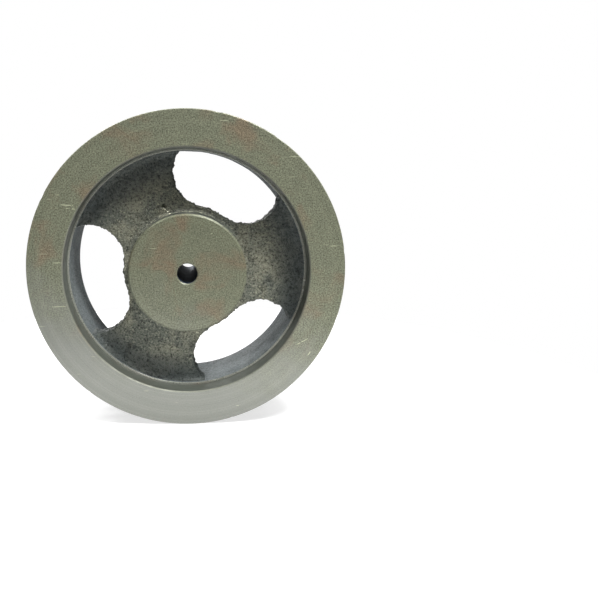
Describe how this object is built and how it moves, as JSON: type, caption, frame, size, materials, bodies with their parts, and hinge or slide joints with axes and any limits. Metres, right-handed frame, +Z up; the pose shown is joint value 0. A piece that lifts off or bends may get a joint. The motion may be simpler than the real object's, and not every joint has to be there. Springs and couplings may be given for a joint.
{
  "type": "v belt pulley",
  "caption": "Cast-iron multi-groove V-belt pulley with an arm-type web, a counterbored rim and an offset hub with a plain pilot bore.",
  "frame": {"origin": "on the bore's axis, at the middle of the rim's width", "axes": "+Y along the bore's axis towards the side where the hub stands out, +Z up, +X to the right when looking along +Y at the flush side"},
  "size_m": [0.267, 0.1, 0.267],
  "materials": {
    "hub_iron": "turned, satin, thin grey-green lacquer",
    "rim_iron": "turned, satin, thin grey-green lacquer",
    "groove_iron": "turned, oiled satin",
    "cast_skin": "rough sand-cast skin"
  },
  "bodies": {
    "root": {"hub": "hub_iron", "arm_1": "cast_skin", "arm_2": "cast_skin", "arm_3": "cast_skin", "rim_barrel": "rim_iron", "groove_wall_1": "groove_iron", "groove_wall_2": "groove_iron", "groove_wall_3": "groove_iron", "groove_wall_4": "groove_iron", "groove_wall_5": "groove_iron"}
  },
  "joints": []
}
